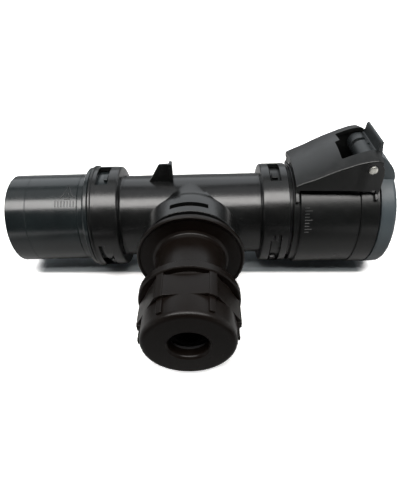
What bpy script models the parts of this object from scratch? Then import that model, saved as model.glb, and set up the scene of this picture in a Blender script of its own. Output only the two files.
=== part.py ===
"""In-line three-way industrial connector: plug end, coupler end with a sprung
lid, and a cable-gland branch, modelled piece by piece.

Frame: metres, +Z up. The origin is the centre of the plug insert's outer face,
on the run axis. +X runs along the body to the coupler, -Y is the branch, +Z is
the side of the lid hinge and of the lid-retaining lug.
Shapes are drawn in millimetres about the tee's centre, on the branch axis.
Profiles are lists of (station, radius); the branch's stations run along -Y.
Angles are in degrees: round the run from -Y up to +Z, round the branch from
+Z to +X.
"""
import math
from collections import namedtuple

import bmesh
import bpy
from mathutils import Matrix, Vector

# ---------------------------------------------------------------- shared dimensions
MM = 0.001
INSERT_FACE = -78.0      # plug insert's outer face
TEE_X = -INSERT_FACE * MM    # branch axis in the finished frame, metres

FACETS_LARGE = 32        # large turned pieces
FACETS_RING = 24         # seals on the run and branch joints
FACETS_GLAND = 20        # pieces inside the gland
FACETS_HINGE = 16        # hinge pin and its bore
FACETS_PIN = 10          # pins, contacts and their holes
FACETS_FINE = 8          # screws, screw holes and conductors
FACETS_SPRING = 5        # spring wire

THIRDS = (0, 120, 240)   # spacing of the bayonet nubs
SPIGOT_R = 30.3          # sleeve spigots that turn in the collars
SPIGOT_END = 51.6        # spigot ends, either side of the tee's centre
NUB_HALF = 4.5           # half angle of a bayonet nub on the run
INSERT_BACK = 49.3       # inner ends of both inserts
INSERT_POCKET_X = 66.0   # floor of the pocket in each insert's inner end
INSERT_POCKET_R = 22.8
SEAL_END = 51.3          # outer ends of the run's joint seals
HINGE_X, HINGE_Z = 106.5, 45.0
HINGE = (HINGE_X, 0, HINGE_Z)
HINGE_BORE_R = 2.8

# ---------------------------------------------------------------- looks
Look = namedtuple('Look', 'colour roughness metallic', defaults=[0.0])

BLACK = Look(colour=(0.018, 0.020, 0.021), roughness=0.42)
BLUE_BLACK = Look(colour=(0.020, 0.025, 0.028), roughness=0.40)
BROWN_BLACK = Look(colour=(0.024, 0.020, 0.018), roughness=0.46)
RUBBER = Look(colour=(0.012, 0.012, 0.012), roughness=0.80)
NICKEL = Look(colour=(0.62, 0.61, 0.57), roughness=0.30, metallic=1.0)
BRASS = Look(colour=(0.68, 0.50, 0.24), roughness=0.32, metallic=1.0)
STEEL = Look(colour=(0.50, 0.50, 0.50), roughness=0.35, metallic=1.0)
INSERT_GREY = Look(colour=(0.10, 0.10, 0.10), roughness=0.55)
CLAW_GREY = Look(colour=(0.42, 0.42, 0.40), roughness=0.5)
SLIP_RING_GREY = Look(colour=(0.10, 0.10, 0.10), roughness=0.4)
CONDUCTOR_ROUGHNESS = 0.45


def material(name, look):
    mat = bpy.data.materials.new(name)
    mat.use_nodes = True
    shader = mat.node_tree.nodes['Principled BSDF']
    shader.inputs['Base Color'].default_value = (*look.colour, 1.0)
    shader.inputs['Roughness'].default_value = look.roughness
    shader.inputs['Metallic'].default_value = look.metallic
    return mat


# ---------------------------------------------------------------- mesh tools
SHARP_ANGLE = math.radians(28)
WELD_DIST = 0.004        # clean-up after a Boolean, millimetres
DEGENERATE_DIST = 0.002


def clear_scene():
    for ob in list(bpy.data.objects):
        bpy.data.objects.remove(ob, do_unlink=True)
    for mesh in list(bpy.data.meshes):
        bpy.data.meshes.remove(mesh)


def to_object(bm):
    """Turn a closed bmesh into an object with its normals facing out."""
    bmesh.ops.recalc_face_normals(bm, faces=bm.faces[:])
    if bm.calc_volume(signed=True) < 0:
        bmesh.ops.reverse_faces(bm, faces=bm.faces[:])
    mesh = bpy.data.meshes.new('part')
    bm.to_mesh(mesh)
    bm.free()
    ob = bpy.data.objects.new('part', mesh)
    bpy.context.scene.collection.objects.link(ob)
    return ob


def skin(bm, rows):
    """Side faces between successive closed rows of vertices."""
    for lo, hi in zip(rows, rows[1:]):
        for i in range(len(lo)):
            j = (i + 1) % len(lo)
            bm.faces.new((lo[i], lo[j], hi[j], hi[i]))


def loft(bm, rows):
    """Skin the rows and cap both ends."""
    skin(bm, rows)
    bm.faces.new(rows[0])
    bm.faces.new(rows[-1])


def axis_point(axis, station, radius, angle):
    """Point about the run ('X') or the branch ('Y'); the angle is in radians."""
    if axis == 'X':
        return Vector((station, -radius * math.cos(angle), radius * math.sin(angle)))
    return Vector((radius * math.sin(angle), -station, radius * math.cos(angle)))


def profile_rings(bm, profile, axis, facets, centre):
    """One ring of vertices for each point of the profile."""
    offset = Vector(centre)
    return [[bm.verts.new(axis_point(axis, station, radius, 2 * math.pi * k / facets) + offset)
             for k in range(facets)] for station, radius in profile]


def turned_solid(profile, axis='X', facets=FACETS_LARGE, centre=(0, 0, 0)):
    """Turn a profile whose two ends are closed by flat discs."""
    bm = bmesh.new()
    rings = profile_rings(bm, profile, axis, facets, centre)
    bm.faces.new(rings[0])
    skin(bm, rings)
    bm.faces.new(rings[-1])
    return to_object(bm)


def turned_ring(profile, axis='X', facets=FACETS_LARGE):
    """Turn a profile that closes on itself."""
    bm = bmesh.new()
    rings = profile_rings(bm, profile, axis, facets, (0, 0, 0))
    skin(bm, rings + rings[:1])
    return to_object(bm)


def sector(axis, stations, radii, angles, steps=4):
    """Closed piece of a ring between pairs of stations, radii and angles."""
    (a0, a1), (r0, r1), (start, end) = stations, radii, angles
    bm = bmesh.new()
    rows = []
    for k in range(steps + 1):
        angle = math.radians(start + (end - start) * k / steps)
        rows.append([bm.verts.new(axis_point(axis, station, radius, angle))
                     for station, radius in ((a0, r0), (a1, r0), (a1, r1), (a0, r1))])
    loft(bm, rows)
    return to_object(bm)


def prism(outline, axis, lo, hi):
    """Extrude an outline along X, from (y, z) points, or Y, from (x, z) points."""
    bm = bmesh.new()
    ends = [[bm.verts.new((w, u, v) if axis == 'X' else (u, w, v)) for u, v in outline]
            for w in (lo, hi)]
    for end in ends:
        bm.faces.new(end)
    skin(bm, ends)
    return to_object(bm)


def block(lo, hi):
    """Box between two opposite corners."""
    outline = [(lo[0], lo[2]), (hi[0], lo[2]), (hi[0], hi[2]), (lo[0], hi[2])]
    return prism(outline, 'Y', lo[1], hi[1])


def circle(bm, centre, across, up, radius, facets):
    """Ring of vertices in the plane of two unit vectors."""
    turns = [2 * math.pi * k / facets for k in range(facets)]
    return [bm.verts.new(centre + across * radius * math.cos(turn)
                         + up * radius * math.sin(turn)) for turn in turns]


def combine(target, tool, operation):
    """Exact Boolean of two objects, kept as the target's own mesh."""
    mod = target.modifiers.new('boolean', 'BOOLEAN')
    mod.operation = operation
    mod.solver = 'EXACT'
    mod.object = tool
    bpy.context.view_layer.update()
    graph = bpy.context.evaluated_depsgraph_get()
    mesh = bpy.data.meshes.new_from_object(target.evaluated_get(graph))
    target.modifiers.clear()
    bm = bmesh.new()
    bm.from_mesh(mesh)
    bmesh.ops.remove_doubles(bm, verts=bm.verts[:], dist=WELD_DIST)
    bmesh.ops.dissolve_degenerate(bm, edges=bm.edges[:], dist=DEGENERATE_DIST)
    bm.to_mesh(mesh)
    bm.free()
    old = target.data
    target.data = mesh
    bpy.data.meshes.remove(old)
    bpy.data.objects.remove(tool, do_unlink=True)


def cut(target, *tools):
    for tool in tools:
        combine(target, tool, 'DIFFERENCE')


def join(target, *tools):
    for tool in tools:
        combine(target, tool, 'UNION')


def finish(ob, name, look, origin=(0, 0, 0)):
    """Scale to metres, put the object's origin at a tee-frame point given in
    millimetres, name it, give it its material and shade it."""
    point = Vector(origin)
    ob.data.transform(Matrix.Scale(MM, 4) @ Matrix.Translation(-point))
    ob.location = point * MM + Vector((TEE_X, 0, 0))
    ob.name = name
    ob.data.name = name
    ob.data.materials.clear()
    ob.data.materials.append(material(name + '_mat', look))
    ob.data.shade_smooth()
    ob.data.set_sharp_from_angle(angle=SHARP_ANGLE)


# ---------------------------------------------------------------- shared features
def about(centre, half):
    """Pair of angles either side of a centre."""
    return centre - half, centre + half


def add_nubs(ob, axis, stations, radii, first, half):
    """Three bayonet nubs, evenly spaced from the first one's angle."""
    for turn in THIRDS:
        join(ob, sector(axis, stations, radii, about(first + turn, half), steps=2))


def hinge_bore():
    """Tool that bores the lid and the hood for the hinge pin."""
    return turned_solid([(-30, HINGE_BORE_R), (30, HINGE_BORE_R)], axis='Y',
                        facets=FACETS_HINGE, centre=HINGE)


def plain_ring(name, look, axis, stations, radii, facets, origin=(0, 0, 0)):
    (a0, a1), (r0, r1) = stations, radii
    ob = turned_ring([(a0, r0), (a0, r1), (a1, r1), (a1, r0)], axis=axis, facets=facets)
    finish(ob, name, look, origin=origin)


# ---------------------------------------------------------------- tee body
RUN_R = 26.9             # run tube, outside
RUN_BORE = 23.9
CUP_R = 30.8             # inside of the bayonet collars
CUP_FLOOR = 49.0         # floors of the bayonet collars
PLUG_COLLAR_R = 33.3
COUPLER_COLLAR_R = 33.1
BRANCH_R = 26.85         # branch tube where it leaves the run
BRANCH_COLLAR_R = 30.5
BRANCH_BORE = 23.5
BRANCH_CUP_R = 28.2
BRANCH_CUP_FLOOR = 26.5

RUN_PROFILE = [
    (-63.2, 33.5), (-62.6, 34.2), (-61.7, 34.2), (-61.1, PLUG_COLLAR_R),
    (-47.6, PLUG_COLLAR_R), (-46.0, 32.5), (-45.0, 30.8), (-44.7, 28.2), (-43.4, RUN_R),
    (43.4, RUN_R), (44.7, 28.2), (45.0, 30.8), (46.0, 32.5), (47.6, COUPLER_COLLAR_R),
    (61.3, COUPLER_COLLAR_R), (61.9, 32.5)]
RUN_BORE_PROFILE = [
    (-66, CUP_R), (-CUP_FLOOR, CUP_R), (-CUP_FLOOR, RUN_BORE),
    (CUP_FLOOR, RUN_BORE), (CUP_FLOOR, CUP_R), (65, CUP_R)]
BRANCH_PROFILE = [
    (2.0, BRANCH_R), (15.4, BRANCH_R), (20.8, 29.8), (24.8, BRANCH_COLLAR_R),
    (38.6, BRANCH_COLLAR_R), (39.0, 30.1)]
BRANCH_BORE_PROFILE = [
    (3.0, BRANCH_BORE), (BRANCH_CUP_FLOOR, BRANCH_BORE), (BRANCH_CUP_FLOOR, BRANCH_CUP_R),
    (43, BRANCH_CUP_R)]

# The lug on top: a thin web in (x, z) with a plate across its coupler side
LUG_WEB = [(-26.6, 25.2), (-26.6, 26.4), (-19.4, 38.8), (-12.0, 39.1), (-12.0, 25.2)]
LUG_WEB_HALF = 1.0
LUG_PLATE = (-12.9, -2.4, 25.0), (-10.8, 2.4, 39.8)

# Bayonet windows in the run's collars: stations, then (centre, half angle) of
# the upper, lower -Y and lower +Y windows
WINDOW_RADII = 29.5, 36.0
WINDOW_HALF = 18.3
RUN_WINDOWS = (
    ((-59.0, -51.2), ((90, WINDOW_HALF), (-23, 24.6), (-150, WINDOW_HALF))),
    ((50.4, 57.4), ((90, WINDOW_HALF), (-18.5, 28.5), (-150, WINDOW_HALF))))
BRANCH_WINDOW_STATIONS = 30.0, 34.0
BRANCH_WINDOW_RADII = 27.4, 33.0
BRANCH_WINDOW_HALF = 21.5


def tee_body():
    ob = turned_solid(RUN_PROFILE)
    join(ob, turned_solid(BRANCH_PROFILE, axis='Y'),
         prism(LUG_WEB, 'Y', -LUG_WEB_HALF, LUG_WEB_HALF), block(*LUG_PLATE))
    cut(ob, turned_solid(RUN_BORE_PROFILE), turned_solid(BRANCH_BORE_PROFILE, axis='Y'))
    for stations, windows in RUN_WINDOWS:
        for centre, half in windows:
            cut(ob, sector('X', stations, WINDOW_RADII, about(centre, half)))
    for centre in (0, 120, -120):
        cut(ob, sector('Y', BRANCH_WINDOW_STATIONS, BRANCH_WINDOW_RADII,
                       about(centre, BRANCH_WINDOW_HALF)))
    finish(ob, 'tee_body', BLACK)


# ---------------------------------------------------------------- cores
PIN_CIRCLE = 16.5        # radius of the circle the pins and contacts stand on
EARTH_ANGLE = -90.0
CORE_PITCH = 72.0        # angle between neighbouring cores
PHASE_PIN_R, EARTH_PIN_R = 2.5, 3.5
CONTACT_PLAY = 0.25      # contact's bore over the pin
CONTACT_WALL = 1.25
HOLE_PLAY = 0.4          # insert's holes over the pins and contacts

PIN_TIP = -113.0
PIN_TIP_LENGTH, PIN_TIP_INSET = 1.0, 0.9
CONTACT_MOUTH = 112.0
CONTACT_BORE_END = 80.0
BARREL_OUTER_END = 65.5  # barrel that grips the conductor, from the tee's centre
BARREL_INNER_END = 50.4
BARREL_BORE_END = 58.4
BARREL_BORE_R = 2.4
CONTACT_BARREL_R = 4.9

SCREW_X = 54.0           # clamping screws, either side of the tee's centre
SCREW_HOLE_R, SCREW_HOLE_DEPTH = 1.7, 6.0
SCREW_HOLE_OFFSET = 4.6  # hole's middle, outwards from the pin circle
SCREW_ORIGIN_R = 20.0
SCREW_R = 1.3
SCREW_HEAD_R = SCREW_R + 0.6
# (distance from the run axis, radius)
SCREW_PROFILE = ((18.8, SCREW_R), (21.6, SCREW_R), (21.6, SCREW_HEAD_R), (22.4, SCREW_HEAD_R))

CONDUCTOR_R = 2.0
CONDUCTOR_BOW = 4.0
BOW_END = 46.0           # conductor is straight beyond this
CONDUCTOR_STATIONS = (-57.4, -BOW_END, -30, -15, 0, 15, 30, BOW_END, 57.4)

Core = namedtuple('Core', 'label pin_name angle pin_r pin_barrel_r colour')
CORES = (
    Core('l1', 'pin_l1', EARTH_ANGLE + CORE_PITCH, PHASE_PIN_R, 4.2, (0.10, 0.05, 0.03)),
    Core('l2', 'pin_l2', EARTH_ANGLE + 2 * CORE_PITCH, PHASE_PIN_R, 4.2, (0.02, 0.02, 0.02)),
    Core('l3', 'pin_l3', EARTH_ANGLE + 3 * CORE_PITCH, PHASE_PIN_R, 4.2, (0.25, 0.25, 0.26)),
    Core('neutral', 'pin_neutral', EARTH_ANGLE + 4 * CORE_PITCH, PHASE_PIN_R, 4.2,
         (0.03, 0.10, 0.40)),
    Core('earth', 'earth_pin', EARTH_ANGLE, EARTH_PIN_R, 4.9, (0.25, 0.45, 0.05)))


def outward(angle):
    """Unit vector away from the run axis."""
    return axis_point('X', 0, 1, math.radians(angle))


def core_centre(angle):
    return axis_point('X', 0, PIN_CIRCLE, math.radians(angle))


def stand_outward(bm, x, angle, distance):
    """Turn a shape's +Z outward and set it at a distance from the run axis."""
    out = outward(angle)
    turn = Vector((0, 0, 1)).rotation_difference(out).to_matrix().to_4x4()
    place = Matrix.Translation(Vector((x, 0, 0)) + out * distance)
    bmesh.ops.transform(bm, matrix=place @ turn, verts=bm.verts)


def barrel_profile(side, radius):
    """Barrel of a pin (side -1) or contact (side 1), open towards the tee."""
    return [(side * BARREL_OUTER_END, radius), (side * BARREL_INNER_END, radius),
            (side * BARREL_INNER_END, BARREL_BORE_R), (side * BARREL_BORE_END, BARREL_BORE_R)]


def screw_hole(x, angle):
    """Tool for a radial screw hole through a barrel's outer wall."""
    bm = bmesh.new()
    bmesh.ops.create_cone(bm, cap_ends=True, segments=FACETS_FINE, radius1=SCREW_HOLE_R,
                          radius2=SCREW_HOLE_R, depth=SCREW_HOLE_DEPTH)
    stand_outward(bm, x, angle, PIN_CIRCLE + SCREW_HOLE_OFFSET)
    return to_object(bm)


def terminal(name, look, core, profile, side):
    """Turned pin or contact with its screw hole."""
    centre = core_centre(core.angle)
    ob = turned_solid(profile, facets=FACETS_PIN, centre=centre)
    cut(ob, screw_hole(side * SCREW_X, core.angle))
    finish(ob, name, look, origin=(-side * INSERT_FACE, centre.y, centre.z))


def pin(core):
    profile = [(PIN_TIP, core.pin_r - PIN_TIP_INSET), (PIN_TIP + PIN_TIP_LENGTH, core.pin_r),
               (-BARREL_OUTER_END, core.pin_r)]
    terminal(core.pin_name, NICKEL, core, profile + barrel_profile(-1, core.pin_barrel_r), -1)


def contact(core):
    bore = core.pin_r + CONTACT_PLAY
    outside = bore + CONTACT_WALL
    profile = [(CONTACT_BORE_END, bore), (CONTACT_MOUTH, bore), (CONTACT_MOUTH, outside),
               (BARREL_OUTER_END, outside)]
    terminal('contact_' + core.label, BRASS, core,
             profile + barrel_profile(1, CONTACT_BARREL_R), 1)


def screw(name, x, angle):
    bm = bmesh.new()
    loft(bm, [circle(bm, Vector((0, 0, height)), Vector((1, 0, 0)), Vector((0, 1, 0)),
                     radius, FACETS_FINE) for height, radius in SCREW_PROFILE])
    stand_outward(bm, x, angle, 0)
    finish(to_object(bm), name, STEEL, origin=Vector((x, 0, 0)) + outward(angle) * SCREW_ORIGIN_R)


def conductor(core):
    """Conductor from a pin's barrel to the contact's barrel, bowed inwards."""
    out = outward(core.angle)
    side = Vector((1, 0, 0)).cross(out)
    bm = bmesh.new()
    rows = []
    for x in CONDUCTOR_STATIONS:
        bow = 0.0
        if abs(x) < BOW_END:
            bow = CONDUCTOR_BOW * math.cos(math.pi * x / (2 * BOW_END)) ** 2
        centre = Vector((x, 0, 0)) + out * (PIN_CIRCLE - bow)
        rows.append(circle(bm, centre, out, side, CONDUCTOR_R, FACETS_FINE))
    loft(bm, rows)
    finish(to_object(bm), 'link_' + core.label,
           Look(colour=core.colour, roughness=CONDUCTOR_ROUGHNESS))


def cut_core_holes(ob, stations, margin):
    """Holes through an insert, wider than the pins' radii by the margin."""
    for core in CORES:
        cut(ob, turned_solid([(station, core.pin_r + margin) for station in stations],
                             facets=FACETS_PIN, centre=core_centre(core.angle)))


# ---------------------------------------------------------------- plug end
PLUG_R = 28.8            # shroud, outside
PLUG_IN = 25.8           # shroud, inside
PLUG_MOUTH = -116.2
PLUG_NUB_STATIONS, PLUG_NUB_RADII = (-54.6, -51.8), (29.6, 32.5)
PLUG_NUB_ANGLE = 85.0
KEY_STATIONS, KEY_RADII = (-114.8, -79.0), (23.9, 26.6)
KEY_HALF = 5.5

PLUG_PROFILE = [
    (PLUG_MOUTH, 28.2), (PLUG_MOUTH + 0.6, PLUG_R), (-70.9, PLUG_R), (-70.4, 29.1),
    (-67.1, 29.1), (-66.5, 29.8), (-66.5, 32.6), (-66.0, 33.1), (-64.0, 33.1),
    (-63.5, 32.6), (-63.5, SPIGOT_R), (-SPIGOT_END, SPIGOT_R), (-SPIGOT_END, PLUG_IN),
    (PLUG_MOUTH, PLUG_IN)]
PLUG_INSERT_PROFILE = [
    (INSERT_FACE, 24.9), (INSERT_FACE + 0.5, 25.4), (-INSERT_BACK, 25.4),
    (-INSERT_BACK, INSERT_POCKET_R), (-INSERT_POCKET_X, INSERT_POCKET_R)]


def plug_sleeve():
    ob = turned_ring(PLUG_PROFILE)
    add_nubs(ob, 'X', PLUG_NUB_STATIONS, PLUG_NUB_RADII, PLUG_NUB_ANGLE, NUB_HALF)
    # key along the bottom of the shroud, in line with the earth pin
    join(ob, sector('X', KEY_STATIONS, KEY_RADII, about(EARTH_ANGLE, KEY_HALF), steps=2))
    finish(ob, 'plug_sleeve', BLUE_BLACK)


def plug_insert():
    ob = turned_solid(PLUG_INSERT_PROFILE)
    cut_core_holes(ob, (-80, -60), HOLE_PLAY)
    finish(ob, 'plug_insert', INSERT_GREY)


# ---------------------------------------------------------------- coupler end
COUPLER_R = 34.2
COUPLER_RIM_R = 35.0
COUPLER_IN = 29.4
COUPLER_MOUTH = 116.2
COUPLER_SPIGOT_IN = 25.5
COUPLER_STEP = 72.0      # where the narrower bore gives way to the wide one
COUPLER_NUB_STATIONS, COUPLER_NUB_RADII = (51.9, 55.8), (29.6, 32.4)
COUPLER_NUB_ANGLE = 82.0
KEYWAY_STATIONS, KEYWAY_RADII = (74.0, 120.0), (23.0, 27.0)
KEYWAY_HALF = 7.5

COUPLER_PROFILE = [
    (SPIGOT_END, COUPLER_SPIGOT_IN), (SPIGOT_END, SPIGOT_R), (64.1, SPIGOT_R), (64.1, 32.3),
    (64.5, 32.7), (67.4, 32.7), (68.0, COUPLER_R), (104.5, COUPLER_R),
    (104.9, COUPLER_RIM_R), (115.8, COUPLER_RIM_R), (COUPLER_MOUTH, 34.6),
    (COUPLER_MOUTH, COUPLER_IN), (COUPLER_STEP, COUPLER_IN), (COUPLER_STEP, COUPLER_SPIGOT_IN)]
COUPLER_INSERT_PROFILE = [
    (113.5, 24.5), (113.0, 25.0), (INSERT_BACK, 25.0),
    (INSERT_BACK, INSERT_POCKET_R), (INSERT_POCKET_X, INSERT_POCKET_R)]


def coupler_sleeve():
    ob = turned_ring(COUPLER_PROFILE)
    add_nubs(ob, 'X', COUPLER_NUB_STATIONS, COUPLER_NUB_RADII, COUPLER_NUB_ANGLE, NUB_HALF)
    finish(ob, 'coupler_sleeve', BLUE_BLACK)


def coupler_insert():
    ob = turned_solid(COUPLER_INSERT_PROFILE)
    cut_core_holes(ob, (60, 120), CONTACT_PLAY + CONTACT_WALL + HOLE_PLAY)
    cut(ob, sector('X', KEYWAY_STATIONS, KEYWAY_RADII, about(EARTH_ANGLE, KEYWAY_HALF), steps=2))
    finish(ob, 'coupler_insert', INSERT_GREY)


# ---------------------------------------------------------------- lid and hinge
LID_FACE = 127.1
LID_R = 35.4
LID_BARREL_R = 5.4       # round the hinge pin
LID_BARREL_ANGLES = (-110, -135, -160, 175, 150, 125, 105)   # from +X towards +Z
LID_BRACKET_HALF = 13.6
LID_PROFILE = [
    (LID_FACE, 32.6), (126.4, 34.3), (124.8, LID_R), (116.7, LID_R), (116.7, 32.0), (121.4, 31.6)]
LID_RECESS_PROFILE = [(110, 31.75), (121.25, 31.4)]
# (x, z), from the top of the barrel over the lid's rim and back to its underside
LID_BRACKET = [
    (HINGE_X, HINGE_Z + LID_BARREL_R), (110.6, 51.2), (111.0, 56.6), (111.8, 57.4),
    (112.9, 56.9), (114.2, 47.6), (119.2, 44.4), (122.6, 41.4), (125.0, 37.8), (125.8, 34.6),
    (125.8, 30.0), (117.4, 30.0), (116.9, 35.6), (112.6, 39.0),
    (HINGE_X, HINGE_Z - LID_BARREL_R)]
LID_RELIEF = [(107.6, 50.9), (109.9, 51.0), (110.2, 60), (104, 60), (104, 50.95)]   # (x, z)
LID_RELIEF_SPANS = ((-15, -1.8), (1.8, 15))   # y
LID_BARREL_GAP = (99, 3.0, 37), (109.0, 6.0, 52)
GASKET_STATIONS, GASKET_RADII = (116.8, 120.9), (25.6, 31.0)

HINGE_PIN_R = 2.5
HINGE_PIN_CHAMFER_R = 2.1
HINGE_PIN_HALF = 25.1
HINGE_PIN_CHAMFER = 24.8   # where the chamfer starts, either way from the middle

SPRING_TURNS = 3
SPRING_STEPS = 10        # rings of vertices per turn
SPRING_WIRE_R = 0.5
SPRING_COIL_R = 3.45
SPRING_START_Y, SPRING_END_Y = -18.2, -14.6


def lid():
    ob = turned_solid(LID_PROFILE)
    barrel = [(HINGE_X + LID_BARREL_R * math.cos(math.radians(angle)),
               HINGE_Z + LID_BARREL_R * math.sin(math.radians(angle)))
              for angle in LID_BARREL_ANGLES]
    join(ob, prism(LID_BRACKET + barrel, 'Y', -LID_BRACKET_HALF, LID_BRACKET_HALF))
    # trim the bracket's top either side of its middle
    for lo, hi in LID_RELIEF_SPANS:
        cut(ob, prism(LID_RELIEF, 'Y', lo, hi))
    cut(ob, block(*LID_BARREL_GAP))
    # the recess behind the lid stays clear for the gasket
    cut(ob, turned_solid(LID_RECESS_PROFILE))
    cut(ob, hinge_bore())
    finish(ob, 'lid', BLUE_BLACK, origin=HINGE)


def hinge_pin():
    profile = [(-HINGE_PIN_HALF, HINGE_PIN_CHAMFER_R), (-HINGE_PIN_CHAMFER, HINGE_PIN_R),
               (HINGE_PIN_CHAMFER, HINGE_PIN_R), (HINGE_PIN_HALF, HINGE_PIN_CHAMFER_R)]
    ob = turned_solid(profile, axis='Y', facets=FACETS_HINGE, centre=HINGE)
    finish(ob, 'lid_hinge_pin', NICKEL, origin=HINGE)


def lid_spring():
    """Torsion spring coiled round the hinge pin, on the -Y side of the lid's barrel."""
    bm = bmesh.new()
    rows = []
    total = SPRING_TURNS * SPRING_STEPS
    for k in range(total + 1):
        turn = 2 * math.pi * k / SPRING_STEPS
        radial = Vector((math.cos(turn), 0, math.sin(turn)))
        y = SPRING_START_Y + (SPRING_END_Y - SPRING_START_Y) * k / total
        centre = Vector((HINGE_X, y, HINGE_Z)) + radial * SPRING_COIL_R
        rows.append(circle(bm, centre, radial, Vector((0, 1, 0)), SPRING_WIRE_R, FACETS_SPRING))
    loft(bm, rows)
    finish(to_object(bm), 'lid_spring', STEEL, origin=HINGE)


# ---------------------------------------------------------------- hinge hood
CROWN_R = 68.0           # the crown's own radius across the hood
CROWN_STEPS = 8
HOOD_WALL = 2.4
HOOD_STATIONS = (
    # x, height of the crown's side edges, half width, wall bottom z
    (64.4, 34.0, 22.0, 31.2), (68.0, 35.6, 22.1, 31.2), (75.5, 38.7, 22.5, 31.3),
    (82.0, 41.9, 22.8, 31.3), (88.0, 44.6, 23.0, 31.2), (94.0, 47.0, 23.3, 31.1),
    (99.0, 48.7, 23.5, 31.0), (104.0, 50.0, 24.0, 30.9), (108.5, 50.2, 24.0, 31.0),
    (111.6, 49.0, 24.0, 31.4))

# End wall nearest the tee, with an arched foot
END_WALL_X = 64.9, 67.0
END_WALL_FOOT_R = 33.2
END_WALL_FOOT_ANGLES = range(55, 130, 10)
# Inner plate on the window's +Y side, (x, z)
INNER_PLATE = [
    (76.0, 30.8), (104.1, 30.8), (104.2, 31.75), (110.9, 31.75), (110.9, 50.2),
    (104.0, 51.0), (94.0, 47.8), (82.0, 42.4), (76.0, 39.3)]
INNER_PLATE_Y = 15.6, 17.4
# Cheek at each side of the lid end, (x, z)
CHEEK = [
    (110.4, 46.0), (113.0, 46.2), (114.2, 42.0), (114.4, 34.0),
    (113.7, 28.1), (112.3, 28.1), (111.6, 31.6), (110.4, 31.6)]
TEE_FOOT_STATIONS, TEE_FOOT_RADII = (64.8, 66.9), (33.1, 35.2)
LID_FOOT_STATIONS, LID_FOOT_RADII = (112.2, 113.8), (35.5, 37.0)
HOOD_SIDES = (
    # cheek's y span, angles of the foot at the tee end, angles at the lid end
    ((-23.7, -21.9), (44.5, 56.0), (44.3, 54.0)),
    ((21.9, 23.7), (124.0, 135.5), (126.0, 135.7)))
# Opening for the lid's bracket: the main window, then its narrower tee end
HOOD_WINDOWS = (
    ((93.0, -17.5, 36), (118, 15.2, 64)),
    ((90.2, -17.5, 36), (94.0, 4.0, 64)))


def hood_section(edge, half, bottom, inset):
    """(y, z) points up one side, over the crown and down the other."""
    width = half - inset
    points = [(-width, bottom)]
    for k in range(CROWN_STEPS + 1):
        y = -width + 2 * width * k / CROWN_STEPS
        points.append((y, edge + (half * half - y * y) / (2 * CROWN_R) - inset))
    points.append((width, bottom))
    return points


def hood_shell():
    bm = bmesh.new()
    rows = []
    for x, edge, half, bottom in HOOD_STATIONS:
        outer = hood_section(edge, half, bottom, 0.0)
        inner = hood_section(edge, half, bottom, HOOD_WALL)
        rows.append([bm.verts.new((x, y, z)) for y, z in outer + inner[::-1]])
    skin(bm, rows)
    # close each end between the outer and inner arches
    count = len(rows[0])
    for row in (rows[0], rows[-1]):
        for k in range(count // 2 - 1):
            bm.faces.new((row[k], row[k + 1], row[count - 2 - k], row[count - 1 - k]))
    return to_object(bm)


def hinge_hood():
    ob = hood_shell()
    # the arched foot clears the coupler sleeve's flange
    wall = hood_section(edge=34.5, half=21.4, bottom=27.6, inset=0.9)
    foot = [(END_WALL_FOOT_R * math.cos(math.radians(angle)),
             END_WALL_FOOT_R * math.sin(math.radians(angle))) for angle in END_WALL_FOOT_ANGLES]
    join(ob, prism(wall + foot, 'X', *END_WALL_X), prism(INNER_PLATE, 'Y', *INNER_PLATE_Y))
    # hook feet clip round the sleeve at both ends of the hood
    for cheek_y, tee_foot, lid_foot in HOOD_SIDES:
        join(ob, sector('X', TEE_FOOT_STATIONS, TEE_FOOT_RADII, tee_foot, steps=3),
             prism(CHEEK, 'Y', *cheek_y),
             sector('X', LID_FOOT_STATIONS, LID_FOOT_RADII, lid_foot, steps=3))
    cut(ob, hinge_bore())
    for lo, hi in HOOD_WINDOWS:
        cut(ob, block(lo, hi))
    finish(ob, 'hinge_hood', BLACK)


# ---------------------------------------------------------------- branch
NECK_R = 21.0
THREAD_R = 20.1          # narrower tube inside the nut
ADAPTOR_NUB_STATIONS, ADAPTOR_NUB_RADII = (30.6, 33.2), (27.2, 29.2)
ADAPTOR_NUB_HALF = 5.0
ADAPTOR_PROFILE = [
    (28.4, 24.6), (28.4, 27.7), (44.3, 27.7), (44.6, 32.2), (45.2, 32.8), (47.3, 32.8),
    (48.0, 32.1), (48.0, 22.2), (49.8, NECK_R), (76.4, NECK_R), (77.4, THREAD_R),
    (99.0, THREAD_R), (99.5, 19.6), (99.5, 17.5), (54.0, 17.5), (46.0, 22.0)]

CLAW_IN = 14.8
CLAW_PROFILE = [
    (80.0, CLAW_IN), (80.0, 17.1), (99.9, 17.1), (99.9, 19.2), (101.4, 19.2), (102.2, 18.4),
    (102.2, CLAW_IN)]
CLAW_SLOT_STATIONS, CLAW_SLOT_RADII = (86.0, 104.0), (13.0, 21.0)
CLAW_SLOT_HALF = 3

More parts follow.
